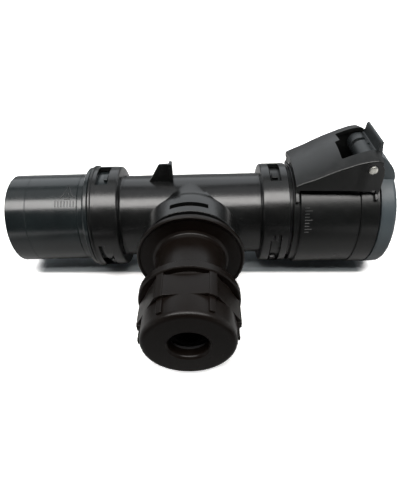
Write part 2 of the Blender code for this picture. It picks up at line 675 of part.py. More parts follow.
NUT_RIM_R = 28.2
NUT_FLAT = 24.75         # hexagon flats, axis to flat
NUT_FLAT_HALF = 24.0     # half angle of a flat
NUT_TURN = -1.1          # how far the nut stands turned
NUT_END = 110.8
NUT_BORE = 20.7
NUT_BORE_END = 106.0
CABLE_R = 10.3
HEX_STATIONS = 84.2, 98.0
NUT_PROFILE = [
    (77.7, 27.7), (78.2, NUT_RIM_R), (82.2, NUT_RIM_R), (82.7, 27.7), (82.7, 24.6),
    (84.2, 24.4), (84.3, 24.8), (103.8, 24.8), (107.3, 23.9), (109.9, 21.3), (NUT_END, 17.8)]
NUT_BORE_PROFILE = [
    (70, NUT_BORE), (NUT_BORE_END, NUT_BORE), (NUT_BORE_END, CABLE_R), (115, CABLE_R)]
NUT_CORNERS = (
    # stations, radii, angles from the middle of a flat, steps:
    # a wide corner block, then a slimmer rib running on to the cable end
    ((82.3, 98.4), (24.2, 27.4), (25.3, 34.9), 2),
    ((97.0, 106.2), (23.6, 25.9), (26.4, 33.7), 1))


def gland_adaptor():
    ob = turned_ring(ADAPTOR_PROFILE, axis='Y')
    add_nubs(ob, 'Y', ADAPTOR_NUB_STATIONS, ADAPTOR_NUB_RADII, 0, ADAPTOR_NUB_HALF)
    finish(ob, 'gland_adaptor', BROWN_BLACK)


def gland_claw():
    ob = turned_ring(CLAW_PROFILE, axis='Y', facets=FACETS_GLAND)
    for k in range(6):
        cut(ob, sector('Y', CLAW_SLOT_STATIONS, CLAW_SLOT_RADII,
                       about(60 * k + 30, CLAW_SLOT_HALF), steps=1))
    finish(ob, 'gland_claw', CLAW_GREY)


def gland_nut():
    ob = turned_solid(NUT_PROFILE, axis='Y')
    corner_r = NUT_FLAT / math.cos(math.radians(NUT_FLAT_HALF))
    hexagon = []
    for k in range(6):
        for end in about(60 * k + NUT_TURN, NUT_FLAT_HALF):
            angle = math.radians(end)
            hexagon.append((corner_r * math.sin(angle), corner_r * math.cos(angle)))
    join(ob, prism(hexagon, 'Y', -HEX_STATIONS[0], -HEX_STATIONS[1]))
    for k in range(6):
        flat = 60 * k + NUT_TURN
        for stations, radii, (start, end), steps in NUT_CORNERS:
            join(ob, sector('Y', stations, radii, (flat + start, flat + end), steps))
    cut(ob, turned_solid(NUT_BORE_PROFILE, axis='Y'))
    finish(ob, 'gland_nut', BROWN_BLACK)


# ---------------------------------------------------------------- seals and rings
JOINT_SEAL_RADII = 26.2, 30.3
PLAIN_RINGS = (
    # name, look, axis, stations, radii, facets
    ('plug_joint_seal', RUBBER, 'X', (-SEAL_END, -INSERT_BACK), JOINT_SEAL_RADII, FACETS_RING),
    ('coupler_joint_seal', RUBBER, 'X', (INSERT_BACK, SEAL_END), JOINT_SEAL_RADII, FACETS_RING),
    ('coupler_face_seal', RUBBER, 'X', (72.3, 75.0), (25.5, 29.0), FACETS_RING),
    ('branch_joint_seal', RUBBER, 'Y', (26.8, 28.1), (24.6, 27.9), FACETS_RING),
    ('gland_seal', RUBBER, 'Y', (81.0, 101.0), (10.9, 14.4), FACETS_GLAND),
    ('gland_slip_ring', SLIP_RING_GREY, 'Y', (102.6, 104.6), (11.4, 19.9), FACETS_GLAND))


# ---------------------------------------------------------------- assembly
def build():
    clear_scene()
    tee_body()
    plug_sleeve()
    plug_insert()
    for core in CORES:
        pin(core)
        contact(core)
        conductor(core)
        screw('plug_screw_' + core.label, -SCREW_X, core.angle)
        screw('coupler_screw_' + core.label, SCREW_X, core.angle)
    coupler_sleeve()
    coupler_insert()
    lid()
    plain_ring('lid_gasket', RUBBER, 'X', GASKET_STATIONS, GASKET_RADII, FACETS_RING,
               origin=HINGE)
    hinge_pin()
    lid_spring()
    hinge_hood()
    gland_adaptor()
    gland_claw()
    gland_nut()
    for ring in PLAIN_RINGS:
        plain_ring(*ring)


build()
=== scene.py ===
# A five-contact tee connector. Its round body lies along X, with a plug at the left
# (-X), a socket under a hinged lid at the right (+X) and a cable gland on a branch
# towards the front (-Y). Up is +Z.
# Shapes are drawn in millimetres about the tee's centre, and place() moves them into
# the row frame, in metres. Materials, floor, lights and camera are in metres.
import math

import bmesh
import bpy
from mathutils import Matrix, Vector


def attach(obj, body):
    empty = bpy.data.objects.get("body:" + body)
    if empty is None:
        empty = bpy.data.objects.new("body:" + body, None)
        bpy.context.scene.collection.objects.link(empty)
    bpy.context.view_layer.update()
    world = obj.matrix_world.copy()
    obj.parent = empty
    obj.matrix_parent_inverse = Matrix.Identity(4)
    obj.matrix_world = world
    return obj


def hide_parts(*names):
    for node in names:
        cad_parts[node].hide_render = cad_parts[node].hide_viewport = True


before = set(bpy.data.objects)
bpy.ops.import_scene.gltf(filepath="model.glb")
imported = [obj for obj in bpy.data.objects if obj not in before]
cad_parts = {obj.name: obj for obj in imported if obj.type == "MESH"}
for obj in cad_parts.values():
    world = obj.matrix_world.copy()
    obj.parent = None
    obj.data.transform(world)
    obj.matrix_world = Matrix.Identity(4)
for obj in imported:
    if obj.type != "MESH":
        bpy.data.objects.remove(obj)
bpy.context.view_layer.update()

MM = 0.001
TEE_X = 0.078                      # row frame x of the branch axis, in metres
HINGE = (106.5, 0.0, 45.0)         # centre of the lid hinge, whose axis runs along Y
ROUND = 112                        # facets round the big shells
THIRDS = (0, 120, 240)             # three-fold features round an axis

# Contacts stand on a circle about X, one every 72 degrees. Angles about X start at
# the front (-Y) and rise over the top.
PIN_CIRCLE = 16.5
EARTH_ANGLE = -90.0
CONTACT_PITCH = 72.0
CONTACTS = [(label, EARTH_ANGLE + CONTACT_PITCH * (k + 1))
            for k, label in enumerate(('l1', 'l2', 'l3', 'neutral'))]
CONTACTS.append(('earth', EARTH_ANGLE))


# ------------------------------------------------------------------ mesh tools
# A profile lists (station along the axis, radius), or (station, radius, rounding)
# where a corner has its own rounding. One that starts and ends on the axis is solid.
FLATTEST = math.radians(172)       # corners flatter than this aren't rounded
ROUNDING_SHARE = 0.42              # most of an edge that one rounding may take


def to_object(bm):
    bmesh.ops.recalc_face_normals(bm, faces=bm.faces[:])
    if bm.calc_volume(signed=True) < 0:
        bmesh.ops.reverse_faces(bm, faces=bm.faces[:])
    mesh = bpy.data.meshes.new('shape')
    bm.to_mesh(mesh)
    bm.free()
    ob = bpy.data.objects.new('shape', mesh)
    bpy.context.scene.collection.objects.link(ob)
    return ob


def axis_point(axis, along, radius, turn):
    """About X, turn runs from the front over the top. About Y, stations count
    towards the front and turn runs from the top to the right."""
    if axis == 'X':
        return Vector((along, -radius * math.cos(turn), radius * math.sin(turn)))
    return Vector((radius * math.sin(turn), -along, radius * math.cos(turn)))


def rod(start, end, radius):
    """Profile of a solid cylinder."""
    return [(start, 0), (start, radius), (end, radius), (end, 0)]


def band(along, radii):
    """Profile of a plain ring."""
    (start, end), (inner, outer) = along, radii
    return [(start, inner), (start, outer), (end, outer), (end, inner)]


def rounded(profile, corner, steps):
    """Rounds the corners of a profile, except those on the axis."""
    out = []
    for i, (along, radius, *own) in enumerate(profile):
        size = own[0] if own else corner
        if radius == 0 or size == 0:
            out.append((along, radius))
            continue
        here = Vector((along, radius))
        back = Vector(profile[i - 1][:2]) - here
        ahead = Vector(profile[(i + 1) % len(profile)][:2]) - here
        back_length, ahead_length = back.length, ahead.length
        back, ahead = back / back_length, ahead / ahead_length
        angle = math.acos(max(-1.0, min(1.0, back.dot(ahead))))
        if angle > FLATTEST:
            out.append((along, radius))
            continue
        reach = min(size / math.tan(angle / 2), ROUNDING_SHARE * back_length,
                    ROUNDING_SHARE * ahead_length)
        start, end = here + back * reach, here + ahead * reach
        for k in range(steps + 1):
            t = k / steps
            out.append(tuple(start * (1 - t) ** 2 + here * 2 * t * (1 - t) + end * t * t))
    return out


def bridge(bm, rings):
    """Faces between each ring of vertices and the next."""
    for low, high in zip(rings, rings[1:]):
        for k in range(len(low)):
            j = (k + 1) % len(low)
            bm.faces.new((low[k], low[j], high[j], high[k]))


def loft(rings):
    """A solid through rings of points, capped at both ends."""
    bm = bmesh.new()
    rings = [[bm.verts.new(point) for point in ring] for ring in rings]
    bridge(bm, rings)
    bm.faces.new(rings[0])
    bm.faces.new(rings[-1])
    return to_object(bm)


def turned(profile, corner=0, steps=3, axis='X', segs=ROUND, centre=(0, 0, 0)):
    profile = rounded(profile, corner, steps)
    solid = profile[0][1] == 0
    centre = Vector(centre)
    bm = bmesh.new()
    rings = [[bm.verts.new(axis_point(axis, along, radius, 2 * math.pi * k / segs) + centre)
              for k in range(segs)]
             for along, radius in (profile[1:-1] if solid else profile)]
    if solid:
        bm.faces.new(rings[0])
        bridge(bm, rings)
        bm.faces.new(rings[-1])
    else:
        bridge(bm, rings + rings[:1])
    return to_object(bm)


def around(middle, half):
    return middle - half, middle + half


def sector(axis, along, radii, angles, steps):
    """A curved block about an axis, between two angles in degrees."""
    section = band(along, radii)
    section = [section[i] for i in (0, 3, 2, 1)]
    first, last = angles
    turns = [math.radians(first + (last - first) * k / steps) for k in range(steps + 1)]
    return loft([[axis_point(axis, a, r, turn) for a, r in section] for turn in turns])


def prism(outline, axis, span):
    """Outlines are (y, z) for a prism along X and (x, z) for one along Y."""
    bm = bmesh.new()
    low, high = [[bm.verts.new((w, u, v) if axis == 'X' else (u, w, v)) for u, v in outline]
                 for w in span]
    bm.faces.new(low)
    bm.faces.new(high)
    bridge(bm, [low, high])
    return to_object(bm)


def block(low, high):
    (x0, y0, z0), (x1, y1, z1) = low, high
    return prism([(x0, z0), (x1, z0), (x1, z1), (x0, z1)], 'Y', (y0, y1))


def circle(centre, across, up, radius, count):
    turns = [2 * math.pi * i / count for i in range(count)]
    return [centre + across * radius * math.cos(turn) + up * radius * math.sin(turn)
            for turn in turns]


def aim(ob, base, direction):
    """Turns a shape drawn about X to point along direction from base."""
    turn = Vector((1, 0, 0)).rotation_difference(direction)
    ob.data.transform(Matrix.Translation(base) @ turn.to_matrix().to_4x4())
    return ob


def apply_modifier(ob, kind, **settings):
    modifier = ob.modifiers.new(kind, kind)
    for key, value in settings.items():
        setattr(modifier, key, value)
    bpy.context.view_layer.update()
    graph = bpy.context.evaluated_depsgraph_get()
    mesh = bpy.data.meshes.new_from_object(ob.evaluated_get(graph))
    ob.modifiers.clear()
    old, ob.data = ob.data, mesh
    bpy.data.meshes.remove(old)


def soften(ob, width=0.3, segments=2, angle=32):
    """A small bevel on the edges sharper than angle, in degrees."""
    apply_modifier(ob, 'BEVEL', width=width, segments=segments, limit_method='ANGLE',
                   angle_limit=math.radians(angle))
    return ob


def combine(target, tools, operation):
    for tool in tools:
        apply_modifier(target, 'BOOLEAN', operation=operation, solver='EXACT', object=tool)
        # clear the slivers that a boolean leaves
        bm = bmesh.new()
        bm.from_mesh(target.data)
        bmesh.ops.remove_doubles(bm, verts=bm.verts[:], dist=0.003)
        bmesh.ops.dissolve_degenerate(bm, edges=bm.edges[:], dist=0.0015)
        bm.to_mesh(target.data)
        bm.free()
        bpy.data.objects.remove(tool, do_unlink=True)


def cut(target, *tools):
    combine(target, tools, 'DIFFERENCE')


def join(target, *tools):
    combine(target, tools, 'UNION')


def merge(target, *others):
    """Puts other closed shells into one object without a boolean."""
    bm = bmesh.new()
    for ob in (target, *others):
        bm.from_mesh(ob.data)
    bm.to_mesh(target.data)
    bm.free()
    for ob in others:
        bpy.data.objects.remove(ob, do_unlink=True)
    return target


def join_nubs(ob, axis, along, radii, middle, half, width, segments):
    """Three nubs a third of a turn apart, bevelled by width."""
    for turn in THIRDS:
        nub = sector(axis, along, radii, around(middle + turn, half), steps=4)
        join(ob, soften(nub, width, segments))


def place(ob, name, mat, body, replaces=None):
    mesh = ob.data
    mesh.transform(Matrix.Translation((TEE_X, 0, 0)) @ Matrix.Scale(MM, 4))
    ob.name = name
    mesh.name = name
    mesh.materials.clear()
    mesh.materials.append(mat)
    mesh.shade_smooth()
    mesh.set_sharp_from_angle(angle=math.radians(30))
    normals = ob.modifiers.new('normals', 'WEIGHTED_NORMAL')
    normals.keep_sharp = True
    normals.mode = 'FACE_AREA'
    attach(ob, body)
    if replaces:
        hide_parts(replaces)


# ------------------------------------------------------------------ materials
class Nodes:
    """Short hand for building a node tree."""

    def __init__(self, tree, coordinates='Object'):
        self.tree = tree
        self.coord = self.add('TexCoord').outputs[coordinates]

    def feed(self, socket, value):
        """Links a socket to an output, or sets its value."""
        if isinstance(value, bpy.types.NodeSocket):
            self.tree.links.new(value, socket)
        elif socket.type == 'RGBA':
            socket.default_value = (*value, 1.0)
        else:
            socket.default_value = value

    def feed_all(self, sockets, values):
        for socket, value in zip(sockets, values):
            self.feed(socket, value)

    def add(self, kind, **values):
        """A new node, its inputs and its settings given by name."""
        node = self.tree.nodes.new('ShaderNode' + kind)
        for key, value in values.items():
            if key in node.inputs:
                self.feed(node.inputs[key], value)
            else:
                setattr(node, key, value)
        return node

    def noise(self, scale, detail=4.0, rough=0.55, stretch=None):
        source = self.coord
        if stretch:
            source = self.add('Mapping', Scale=stretch, Vector=source).outputs['Vector']
        node = self.add('TexNoise', Scale=scale, Detail=detail, Roughness=rough, Vector=source)
        return node.outputs['Fac']

    def remap(self, source, over=(0.3, 0.7), to=(0.0, 1.0)):
        """The range over of the source is mapped to the range to."""
        node = self.add('MapRange', Value=source)
        for key, value in zip(('From Min', 'From Max', 'To Min', 'To Max'), (*over, *to)):
            node.inputs[key].default_value = value
        return node.outputs['Result']

    def mix_colour(self, factor, a, b):
        node = self.add('Mix', data_type='RGBA')
        # sockets 6 and 7 are the colour pair, and output 2 the mixed colour
        self.feed_all((node.inputs['Factor'], node.inputs[6], node.inputs[7]), (factor, a, b))
        return node.outputs[2]

    def maths(self, operation, a, b=0.0, *more):
        node = self.add('Math', operation=operation)
        self.feed_all(node.inputs, (a, b, *more))
        return node.outputs[0]

    def vector_maths(self, operation, *vectors):
        node = self.add('VectorMath', operation=operation)
        self.feed_all(node.inputs, vectors)
        return node.outputs['Value']

    def split(self, vector):
        return self.add('SeparateXYZ', Vector=vector).outputs

    def bump(self, height, strength, distance, normal=None):
        node = self.add('Bump', Strength=strength, Distance=distance, Height=height)
        if normal is not None:
            self.feed(node.inputs['Normal'], normal)
        return node.outputs['Normal']


class Material(Nodes):
    def __init__(self, name):
        self.mat = bpy.data.materials.new(name)
        self.mat.use_nodes = True
        super().__init__(self.mat.node_tree)

    def finish(self, inputs):
        """Feeds the surface shader by input name and returns the material."""
        shader = self.tree.nodes['Principled BSDF']
        for key, value in inputs.items():
            self.feed(shader.inputs[key], value)
        return self.mat


def plastic(name, dark, light, rough=(0.20, 0.27), grain=0.10, worn=0.35, specular=0.5,
            sink=0.06, dust_level=0.003, painted_light_colour=None, painted_light_span=None):
    """Moulded plastic: mottled from dark to light, with roughness in the range rough.
    grain and sink are the strengths of the fine and the broad bumps, worn that of
    the rubbed edges and dust_level that of dust on upward faces. Over a span of x
    the colour may turn to a second one, painted light standing in for light from the side."""
    n = Material(name)
    slow = n.noise(scale=30.0, detail=3.0)
    cloud = n.noise(scale=170.0, detail=5.0, rough=0.62)
    fine = n.noise(scale=4800.0, detail=2.0, rough=0.6)
    waves = n.noise(scale=42.0, detail=1.0, rough=0.3)
    colour = n.mix_colour(n.remap(slow), dark, light)
    # rubbed edges: where a rounded normal leaves the true one
    bevel = n.add('Bevel', samples=4, Radius=0.0005)
    true_normal = n.add('NewGeometry').outputs['Normal']
    likeness = n.vector_maths('DOT_PRODUCT', bevel.outputs['Normal'], true_normal)
    edge = n.remap(likeness, over=(0.90, 0.995), to=(1.0, 0.0))
    rub = n.maths('MULTIPLY', edge, n.remap(cloud, over=(0.35, 0.65), to=(0.15, 1.0)))
    rub = n.maths('MULTIPLY', rub, worn)
    colour = n.mix_colour(rub, colour, tuple(c * 2.0 + 0.006 for c in light))
    upward = n.split(true_normal)['Z']
    # painted light: over a span of x the colour turns to a paler one
    if painted_light_colour:
        painted_light = n.remap(n.split(n.coord)['X'], over=painted_light_span)
        colour = n.mix_colour(painted_light, colour, painted_light_colour)
    dust = n.maths('MULTIPLY', n.remap(upward, over=(0.35, 1.0)),
                   n.remap(cloud, over=(0.40, 0.80), to=(0.0, dust_level)))
    colour = n.mix_colour(dust, colour, (0.30, 0.29, 0.27))
    gloss = n.maths('ADD', n.remap(cloud, to=rough), n.maths('MULTIPLY', rub, 0.12))
    normal = n.bump(waves, strength=sink, distance=0.0008)
    normal = n.bump(fine, strength=grain, distance=0.00004, normal=normal)
    return n.finish({'Base Color': colour, 'Roughness': gloss,
                     'Specular IOR Level': specular, 'Normal': normal})


def metal(name, colour, rough=0.25, brush=(1.0, 1.0, 1.0), tarnish=(0.3, 0.28, 0.22)):
    """Metal with fine lines, stretched by brush, and slight tarnish."""
    n = Material(name)
    lines = n.noise(scale=3000.0, detail=2.0, rough=0.5, stretch=brush)
    spots = n.noise(scale=420.0, detail=5.0, rough=0.7)
    tarnished = n.remap(spots, over=(0.5, 0.8), to=(0.0, 0.45))
    return n.finish({
        'Base Color': n.mix_colour(tarnished, colour, tarnish),
        'Metallic': 1.0,
        'Roughness': n.maths('ADD', n.remap(spots, to=(rough - 0.05, rough + 0.12)),
                             n.remap(lines, to=(-0.03, 0.06))),
        'Normal': n.bump(lines, strength=0.12, distance=0.00004)})


def rubber(name):
    n = Material(name)
    cloud = n.noise(scale=260.0, detail=5.0, rough=0.65)
    fine = n.noise(scale=4200.0, detail=2.0)
    pale = n.remap(cloud, over=(0.4, 0.75), to=(0.0, 0.35))
    return n.finish({
        'Base Color': n.mix_colour(pale, (0.012, 0.012, 0.012), (0.045, 0.043, 0.04)),
        'Roughness': n.remap(cloud, to=(0.62, 0.82)),
        'Specular IOR Level': 0.35,
        'Normal': n.bump(fine, strength=0.25, distance=0.00008)})


def insulation(name, colour, stripe=None):
    """Smooth wire covering, with diagonal bands of a second colour if given."""
    n = Material(name)
    cloud = n.noise(scale=300.0)
    tone = n.mix_colour(n.remap(cloud), tuple(c * 0.85 for c in colour), colour)
    if stripe:
        wave = n.add('TexWave', Scale=55.0, bands_direction='DIAGONAL', Vector=n.coord)
        tone = n.mix_colour(n.remap(wave.outputs['Fac'], over=(0.46, 0.54)), tone, stripe)
    return n.finish({
        'Base Color': tone,
        'Roughness': n.remap(cloud, to=(0.34, 0.48)),
        'Normal': n.bump(n.noise(scale=1500.0, detail=3.0), strength=0.1, distance=0.00005)})


BLACK = plastic('tee_plastic', dark=(0.0034, 0.0036, 0.0036), light=(0.0052, 0.0055, 0.0055))
BLUE = plastic('shell_plastic', dark=(0.0060, 0.0080, 0.0086), light=(0.0090, 0.0122, 0.0130),
               rough=(0.17, 0.24))
SOCKET = plastic('socket_plastic', dark=(0.0034, 0.0037, 0.0036), light=(0.0050, 0.0054, 0.0054),
                 rough=(0.27, 0.34), sink=0.02, grain=0.05, specular=0.34)
# the lid turns paler and bluer towards its rim, over x 111 to 119 mm: painted light from the right
LID = plastic('lid_plastic', dark=(0.0085, 0.0105, 0.0115), light=(0.0120, 0.0145, 0.0155),
              rough=(0.40, 0.48), grain=0.2, painted_light_colour=(0.036, 0.047, 0.053),
              painted_light_span=(TEE_X + 0.111, TEE_X + 0.119))
HOOD = plastic('hood_plastic', dark=(0.0028, 0.0031, 0.0030), light=(0.0042, 0.0046, 0.0045),
               rough=(0.30, 0.40), grain=0.2, dust_level=0.014, specular=0.45)
BROWN = plastic('gland_plastic', dark=(0.0030, 0.0019, 0.0014), light=(0.0046, 0.0030, 0.0022),
                rough=(0.27, 0.36), grain=0.15, specular=0.20)
MARKS = plastic('mark_plastic', dark=(0.010, 0.011, 0.011), light=(0.014, 0.015, 0.015),
                rough=(0.30, 0.40), specular=0.6)
INSERT = plastic('insert_plastic', dark=(0.035, 0.035, 0.036), light=(0.055, 0.055, 0.056),
                 rough=(0.42, 0.55), worn=0.2)
CLAW = plastic('claw_plastic', dark=(0.36, 0.36, 0.34), light=(0.46, 0.455, 0.43),
               rough=(0.40, 0.50), worn=0.1)
RUBBER = rubber('seal_rubber')
NICKEL = metal('nickel_plate', (0.66, 0.65, 0.60), rough=0.24, brush=(0.2, 1.0, 1.0))
BRASS = metal('turned_brass', (0.72, 0.53, 0.25), rough=0.26, brush=(1.0, 0.3, 0.3),
              tarnish=(0.35, 0.24, 0.12))
STEEL = metal('zinc_steel', (0.52, 0.52, 0.51), rough=0.30)
# material and slot of each link wire
WIRES = {
    'l1': (insulation('wire_brown', (0.13, 0.055, 0.03)), 'wire_brown'),
    'l2': (insulation('wire_black', (0.02, 0.02, 0.02)), 'wire_black'),
    'l3': (insulation('wire_grey', (0.27, 0.27, 0.28)), 'wire_grey'),
    'neutral': (insulation('wire_blue', (0.03, 0.11, 0.42)), 'wire_blue'),
    'earth': (insulation('wire_earth', (0.16, 0.36, 0.05), stripe=(0.72, 0.60, 0.05)),
              'wire_green')}


# ------------------------------------------------------------------ tee body
TEE_OUTER = [
    (-63.15, 0), (-63.15, 33.4), (-62.7, 34.15), (-61.7, 34.15, 0.8), (-61.1, 33.3),
    (-48.3, 33.25), (-45.1, 32.9, 3.2), (-44.75, 27.0, 1.4), (43.4, 26.9, 0),
    (44.75, 27.0, 1.4), (45.1, 32.6, 3.2), (48.0, 33.0), (61.5, 33.0), (61.85, 32.6),
    (61.85, 0)]
TEE_BORE = [
    (-66, 0), (-66, 31.1), (-63.1, 31.05), (-62.4, 30.8), (-49, 30.8), (-49, 23.9),
    (49, 23.9), (49, 30.8), (61.2, 30.8), (61.9, 31.05), (65, 31.1), (65, 0)]
BRANCH_OUTER = [
    (2.0, 0), (2.0, 26.8, 0), (15.0, 26.85, 7.0), (21.2, 30.1, 3.0), (25.0, 30.5, 2.0),
    (38.5, 30.5), (38.9, 30.1), (38.9, 0)]
BRANCH_BORE = [
    (3.0, 0), (3.0, 23.5), (26.5, 23.5), (26.5, 28.2), (38.4, 28.2), (39.1, 28.6),
    (43, 28.6), (43, 0)]
# upright fin on top of the left half, and the thicker plate at its end, as (x, z)
FIN = [(-26.6, 25.2), (-26.6, 26.5), (-19.2, 38.8), (-12.0, 39.1), (-12.0, 25.2)]
FIN_PLATE = [(-12.9, 25.0), (-12.9, 39.5), (-12.5, 39.75), (-11.2, 39.75), (-10.85, 39.4),
             (-10.85, 25.0)]
# windows through each end collar: stations, then (middle, half width) in degrees
COLLAR_WINDOWS = (((-59.0, -51.2), ((90, 18.3), (-23, 24.6), (-150, 18.3))),
                  ((50.4, 57.4), ((90, 18.3), (-18.5, 28.5), (-150, 18.3))))
# pads in the front collar windows: stations, angles, steps
WINDOW_PADS = (((-55.5, -51.0), (-13.0, 2.4), 6),
               ((50.2, 52.2), (1.4, 10.8), 5),
               ((53.6, 55.4), (1.4, 10.8), 5))
PIP = [(-0.6, 0), (-0.6, 1.0), (0.6, 0.9), (0.6, 0)]
PIP_SEAT = 26.85                   # radius the pips stand on
PIPS = ((-32.2, 29.0), (32.0, 27.0))   # x, angle


def tee_shell():
    ob = turned(TEE_OUTER, corner=0.3, steps=4)
    branch = turned(BRANCH_OUTER, corner=0.25, steps=5, axis='Y')
    join(ob, branch, soften(prism(FIN, 'Y', (-0.95, 0.95)), 0.35),
         soften(prism(FIN_PLATE, 'Y', (-2.4, 2.4))))
    cut(ob, turned(TEE_BORE, corner=0.2, steps=2), turned(BRANCH_BORE, axis='Y'))
    for along, windows in COLLAR_WINDOWS:
        for middle, half in windows:
            cut(ob, sector('X', along, (29.5, 36), around(middle, half), steps=14))
    for middle in (0, 120, -120):
        cut(ob, sector('Y', (29.9, 33.9), (27.4, 33), around(middle, 22.0), steps=12))
    for along, angles, steps in WINDOW_PADS:
        join(ob, soften(sector('X', along, (31.0, 32.5), angles, steps)))
    place(ob, 'tee_shell', BLACK, 'tee', 'tee_body')


def tee_pips():
    """Small studs either side of the branch."""
    for i, (x, angle) in enumerate(PIPS):
        turn = math.radians(angle)
        pip = aim(turned(PIP, corner=0.25, steps=2, segs=20),
                  axis_point('X', x, PIP_SEAT, turn), axis_point('X', 0, 1, turn))
        place(pip, 'tee_pip_%d' % (i + 1), BLACK, 'tee')


# ------------------------------------------------------------------ plug end
PLUG_RADIUS = 28.8
PLUG_OUTER = [
    (-116.2, 28.4), (-115.8, PLUG_RADIUS), (-103.9, PLUG_RADIUS), (-103.6, 28.5),
    (-103.3, PLUG_RADIUS), (-71.4, PLUG_RADIUS), (-71.0, 28.4), (-70.6, 28.9),
    (-67.6, 29.2, 1.0), (-66.7, 29.9, 0.5), (-66.5, 32.3), (-65.9, 33.0, 0.7), (-64.0, 33.1),
    (-63.5, 32.6), (-63.5, 30.3), (-51.6, 30.3), (-51.6, 25.8), (-115.6, 25.8), (-116.2, 26.4)]
PLUG_INSERT = [(-78, 0), (-78, 24.9), (-77.5, 25.4), (-49.3, 25.4), (-49.3, 22.8),
               (-66, 22.8), (-66, 0)]
STROKE_WIDTH = 0.6                 # of the raised marks on both shells
STROKE_ROOT = 0.25                 # how deep a stroke starts under the surface


def relief(strokes, radius, height):
    """Raised strokes on a cylinder about X. A stroke lists (x, arc), with arc in
    millimetres round the surface from the front."""
    # half section of a stroke: share of the half width, height over the surface
    flank = ((1, -STROKE_ROOT), (1, height * 0.7), (0.6, height))
    section = flank + tuple((-side, rise) for side, rise in flank[::-1])
    shells = []
    for stroke in strokes:
        rings = []
        for i, point in enumerate(stroke):
            before = Vector(stroke[max(i - 1, 0)])
            after = Vector(stroke[min(i + 1, len(stroke) - 1)])
            course = (after - before).normalized()
            side = Vector((-course.y, course.x)) * STROKE_WIDTH / 2
            ring = []
            for share, rise in section:
                spot = Vector(point) + side * share
                ring.append(axis_point('X', spot.x, radius + rise, spot.y / radius))
            rings.append(ring)
        shells.append(loft(rings))
    return merge(*shells)


def plug_shell():
    ob = turned(PLUG_OUTER, corner=0.18)
    join_nubs(ob, 'X', along=(-54.4, -51.8), radii=(29.6, 32.4), middle=85, half=4.8,
              width=0.5, segments=3)
    # key along the bottom of the bore
    join(ob, sector('X', (-114.8, -79.0), (23.9, 26.6), around(EARTH_ANGLE, 5.5), steps=4))
    place(ob, 'plug_shell', BLUE, 'plug_shell', 'plug_sleeve')


def plug_marks():
    """An arrow pointing up the shell, and a row of bars to its left."""
    top, low, bar_low, bar_top = [PLUG_RADIUS * math.radians(a) for a in (79, 60, 48.5, 56)]
    arrow = [
        [(-81.2, low), (-79.4, low + 2.6), (-76.8, top), (-74.4, low + 2.6), (-72.6, low)],
        [(-78.6, low + 0.4), (-76.9, low + 4.2), (-75.2, low + 0.4)],
        [(-78.6, low - 0.6), (-75.2, low - 0.6)]]
    first_bar, pitch, count = -84.4, 1.9, 8
    bars = [[(first_bar + pitch * k, bar_low), (first_bar + pitch * k, bar_top)]
            for k in range(count)]
    place(relief(arrow + bars, PLUG_RADIUS, height=0.3), 'plug_marks', MARKS, 'plug_shell')


def insert_holes(ob, start, end, phase_radius, earth_radius):
    for label, angle in CONTACTS:
        radius = earth_radius if label == 'earth' else phase_radius
        cut(ob, turned(rod(start, end, radius), segs=40, centre=contact_spot(angle)))


def plug_insert():
    ob = turned(PLUG_INSERT, corner=0.25, segs=96)
    insert_holes(ob, -80, -60, phase_radius=2.9, earth_radius=3.9)
    place(ob, 'plug_insert_moulding', INSERT, 'tee', 'plug_insert')


# ------------------------------------------------------------------ contacts
CLAMP_X = 54.0                     # clamping screws stand at plus and minus this x
CLAMP_HOLE_RISE = 4.6              # centre of a screw hole beyond the pin circle
SCREW = [(18.8, 0), (18.8, 1.3), (21.6, 1.3), (21.6, 1.9), (22.4, 1.9), (22.4, 0)]
LINK_END = 57.4                    # a link wire runs between minus and plus this x
LINK_STRIPPED = 50.9               # beyond this x it is bare
BARE_RADIUS, COVERED_RADIUS = 1.35, 1.98
BOW_END, BOW_DEPTH = 46, 4.0       # it bows towards the axis between these x


def contact_spot(angle):
    return axis_point('X', 0, PIN_CIRCLE, math.radians(angle))


def outward(angle):
    return axis_point('X', 0, 1, math.radians(angle))


def cut_clamp_hole(ob, x, angle):
    out = outward(angle)
    base = Vector((x, 0, 0)) + out * (PIN_CIRCLE + CLAMP_HOLE_RISE)
    cut(ob, aim(turned(rod(-3, 3, 1.7), segs=20), base, out))


def contact_pin(label, angle):
    radius, barrel = (3.5, 4.9) if label == 'earth' else (2.5, 4.2)
    ob = turned([
        (-113.0, 0), (-113.0, radius * 0.45), (-112.2, radius * 0.86), (-110.9, radius),
        (-66.1, radius), (-65.5, radius), (-65.5, barrel), (-50.4, barrel), (-50.4, 2.4),
        (-58.4, 2.4), (-58.4, 0)], corner=0.3, segs=40, centre=contact_spot(angle))
    cut_clamp_hole(ob, -CLAMP_X, angle)
    node = 'earth_pin' if label == 'earth' else 'pin_' + label
    place(ob, node + '_turned', NICKEL, 'tee', node)


def contact_tube(label, angle):
    bore, radius = (3.75, 5.0) if label == 'earth' else (2.75, 4.0)
    barrel = 4.9
    ob = turned([
        (80.0, 0), (80.0, bore), (111.2, bore), (112.0, bore + 0.5), (112.0, radius),
        (65.5, radius), (65.5, barrel), (50.4, barrel), (50.4, 2.4), (58.4, 2.4), (58.4, 0)],
        corner=0.2, steps=2, segs=40, centre=contact_spot(angle))
    cut_clamp_hole(ob, CLAMP_X, angle)
    place(ob, 'contact_%s_turned' % label, BRASS, 'tee', 'contact_' + label)


def link_wire(label, angle):
    """Conductor between the two barrels."""
    out = outward(angle)
    side = Vector((1, 0, 0)).cross(out)
    rings, steps = [], 40
    for k in range(steps + 1):
        x = -LINK_END + 2 * LINK_END * k / steps
        bow = 0.0
        if abs(x) < BOW_END:
            bow = BOW_DEPTH * math.cos(math.pi * x / (2 * BOW_END)) ** 2
        radius = BARE_RADIUS if abs(x) > LINK_STRIPPED else COVERED_RADIUS
        centre = Vector((x, 0, 0)) + out * (PIN_CIRCLE - bow)
        rings.append(circle(centre, out, side, radius, count=20))
    mat, slot = WIRES[label]
    place(loft(rings), 'link_%s_wire' % label, mat, 'tee', 'link_' + label)


